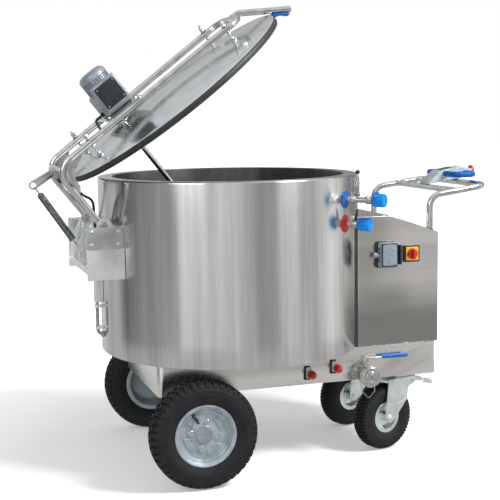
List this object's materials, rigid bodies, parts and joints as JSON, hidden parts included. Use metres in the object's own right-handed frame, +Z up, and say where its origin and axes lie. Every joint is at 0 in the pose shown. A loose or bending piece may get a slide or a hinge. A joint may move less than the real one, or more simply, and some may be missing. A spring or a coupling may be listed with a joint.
{
  "type": "milk taxi",
  "caption": "Wheeled milk tank on a powered cart with a sprung, open lid, an agitator under it, water inlets, an outlet valve and a push handle.",
  "frame": {"origin": "on the floor, at the middle of the whole cart's length and width with the lid open", "axes": "+X towards the push handle, +Y away from the side with the taps, +Z up"},
  "size_m": [1.8429, 1.0145, 1.7473],
  "materials": {
    "stainless": "polished",
    "satin_stainless": "satin",
    "zinc_plate": "satin",
    "silver_paint": "satin",
    "black_paint": "satin",
    "motor_housing": "satin",
    "grey_casting": "satin",
    "tyre_rubber": "matte",
    "seal_rubber": "matte",
    "foam": "matte",
    "black_plastic": "matte",
    "blue_plastic": "satin",
    "dark_blue_plastic": "satin",
    "red_plastic": "satin",
    "yellow_plastic": "satin",
    "grey_plastic": "satin",
    "battery_case": "matte"
  },
  "bodies": {
    "cart": {"battery": "battery_case", "cabinet_seal": "seal_rubber", "cabinet_shell": "satin_stainless", "cable_conduit": "grey_plastic", "cap_chain": "stainless", "charging_socket": "grey_casting", "chassis_tray": "satin_stainless", "control_grip_far": "blue_plastic", "control_grip_near": "blue_plastic", "control_head": "grey_plastic", "drain_cock_left": "red_plastic", "drain_cock_right": "red_plastic", "drive_axle": "black_paint", "hinge_bracket": "satin_stainless", "hinge_cable": "black_plastic", "hinge_cover_far": "stainless", "hinge_cover_near": "stainless", "inlet_blue": "stainless", "inlet_cap_blue": "blue_plastic", "inlet_cap_red": "blue_plastic", "inlet_red": "stainless", "isolator_base": "yellow_plastic", "latch_base": "stainless", "milk_pump": "motor_housing", "outlet_valve": "stainless", "push_handle": "stainless", "suction_pipe": "stainless", "tank_insulation": "foam", "tank_jacket": "stainless", "tank_vessel": "stainless"},
    "lid": {"lid_shell": "stainless", "lid_seal": "seal_rubber", "lid_frame": "stainless", "lid_grip": "dark_blue_plastic", "gearmotor": "motor_housing", "motor_cover": "black_plastic", "motor_cable": "black_plastic"},
    "agitator": {"agitator": "stainless"},
    "spring_lower": {"spring_coil": "zinc_plate"},
    "spring_upper": {"spring_hook": "zinc_plate"},
    "drive_wheel_near": {"drive_tyre_near": "tyre_rubber", "drive_rim_near": "silver_paint"},
    "drive_wheel_far": {"drive_tyre_far": "tyre_rubber", "drive_rim_far": "silver_paint"},
    "castor_near": {"castor_fork_near": "zinc_plate"},
    "castor_far": {"castor_fork_far": "zinc_plate"},
    "castor_wheel_near": {"castor_tyre_near": "tyre_rubber", "castor_rim_near": "zinc_plate"},
    "castor_wheel_far": {"castor_tyre_far": "tyre_rubber", "castor_rim_far": "zinc_plate"},
    "pedal_near": {"castor_pedal_near": "zinc_plate"},
    "pedal_far": {"castor_pedal_far": "zinc_plate"},
    "outlet_cap": {"outlet_cap": "stainless"},
    "valve_lever": {"valve_lever": "stainless"},
    "isolator_knob": {"isolator_knob": "red_plastic"},
    "socket_flap": {"socket_flap": "black_plastic"},
    "latch_arm": {"latch_arm": "stainless"},
    "inlet_tap": {"inlet_tap": "black_plastic"},
    "stop_button": {"stop_button": "red_plastic"},
    "horn_button": {"horn_button": "grey_plastic"}
  },
  "joints": [
    {"name": "lid_hinge", "type": "hinge", "parent": "cart", "child": "lid", "pos_m": [-0.679, 0, 0.94], "axis": [0, 1, 0], "range_deg": [0, 38], "stiffness_Nm_per_rad": 94.55, "springref_deg": -47.65, "deforming": ["hinge_cable", "spring_coil"]},
    {"name": "agitator_spin", "type": "hinge", "parent": "lid", "child": "agitator", "pos_m": [-0.52832, 0, 1.26203], "axis": [-0.6157, 0, 0.788], "continuous": true},
    {"name": "spring_swing", "type": "hinge", "parent": "cart", "child": "spring_lower", "pos_m": [-0.745, 0, 0.839], "axis": [0, 1, 0], "range_deg": [0, 29.48]},
    {"name": "hook_swing", "type": "hinge", "parent": "lid", "child": "spring_upper", "pos_m": [-0.9076, 0, 1.07992], "axis": [0, 1, 0], "range_deg": [-8.54, 0]},
    {"name": "drive_spin_near", "type": "hinge", "parent": "cart", "child": "drive_wheel_near", "pos_m": [-0.388, -0.42, 0.19758], "axis": [0, 1, 0], "continuous": true},
    {"name": "drive_spin_far", "type": "hinge", "parent": "cart", "child": "drive_wheel_far", "pos_m": [-0.388, 0.42, 0.19758], "axis": [0, 1, 0], "continuous": true},
    {"name": "castor_swivel_near", "type": "hinge", "parent": "cart", "child": "castor_near", "pos_m": [0.493, -0.18, 0.278], "axis": [0, 0, 1], "continuous": true},
    {"name": "castor_roll_near", "type": "hinge", "parent": "castor_near", "child": "castor_wheel_near", "pos_m": [0.41076, -0.20514, 0.12951], "axis": [-0.2924, 0.9563, 0], "continuous": true},
    {"name": "pedal_press_near", "type": "hinge", "parent": "castor_near", "child": "pedal_near", "pos_m": [0.52647, -0.16977, 0.264], "axis": [-0.2924, 0.9563, 0], "range_deg": [0, 12]},
    {"name": "castor_swivel_far", "type": "hinge", "parent": "cart", "child": "castor_far", "pos_m": [0.493, 0.18, 0.278], "axis": [0, 0, 1], "continuous": true},
    {"name": "castor_roll_far", "type": "hinge", "parent": "castor_far", "child": "castor_wheel_far", "pos_m": [0.41076, 0.15486, 0.12951], "axis": [-0.2924, 0.9563, 0], "continuous": true},
    {"name": "pedal_press_far", "type": "hinge", "parent": "castor_far", "child": "pedal_far", "pos_m": [0.52647, 0.19023, 0.264], "axis": [-0.2924, 0.9563, 0], "range_deg": [0, 12]},
    {"name": "cap_turn", "type": "hinge", "parent": "cart", "child": "outlet_cap", "pos_m": [0.305, -0.3185, 0.324], "axis": [0, -1, 0], "range_deg": [0, 90], "deforming": ["cap_chain"]},
    {"name": "lever_turn", "type": "hinge", "parent": "cart", "child": "valve_lever", "pos_m": [0.305, -0.304, 0.4], "axis": [0, 0, -1], "range_deg": [0, 90]},
    {"name": "isolator_turn", "type": "hinge", "parent": "cart", "child": "isolator_knob", "pos_m": [0.498, -0.2918, 0.787], "axis": [0, -1, 0], "range_deg": [0, 90]},
    {"name": "flap_swing", "type": "hinge", "parent": "cart", "child": "socket_flap", "pos_m": [0.434, -0.29, 0.79], "axis": [0, 0, 1], "range_deg": [0, 70]},
    {"name": "latch_swing", "type": "hinge", "parent": "cart", "child": "latch_arm", "pos_m": [0.26728, -0.29538, 1.024], "axis": [0.5556, 0.8315, 0], "range_deg": [0, 100]},
    {"name": "tap_turn", "type": "hinge", "parent": "cart", "child": "inlet_tap", "pos_m": [0.21077, -0.40707, 0.9403], "axis": [0, 0, 1], "range_deg": [0, 90]},
    {"name": "stop_press", "type": "slide", "parent": "cart", "child": "stop_button", "axis": [-1, 0, 0], "range_m": [0, 0.008], "stiffness_N_per_m": 400, "springref_m": -0.002},
    {"name": "horn_press", "type": "slide", "parent": "cart", "child": "horn_button", "axis": [0, 0, -1], "range_m": [0, 0.004], "stiffness_N_per_m": 300, "springref_m": -0.001}
  ],
  "couplings": [
    {"joint": "spring_swing", "follows": "lid_hinge", "ratio": 0.7755},
    {"joint": "hook_swing", "follows": "lid_hinge", "ratio": -0.2245}
  ]
}
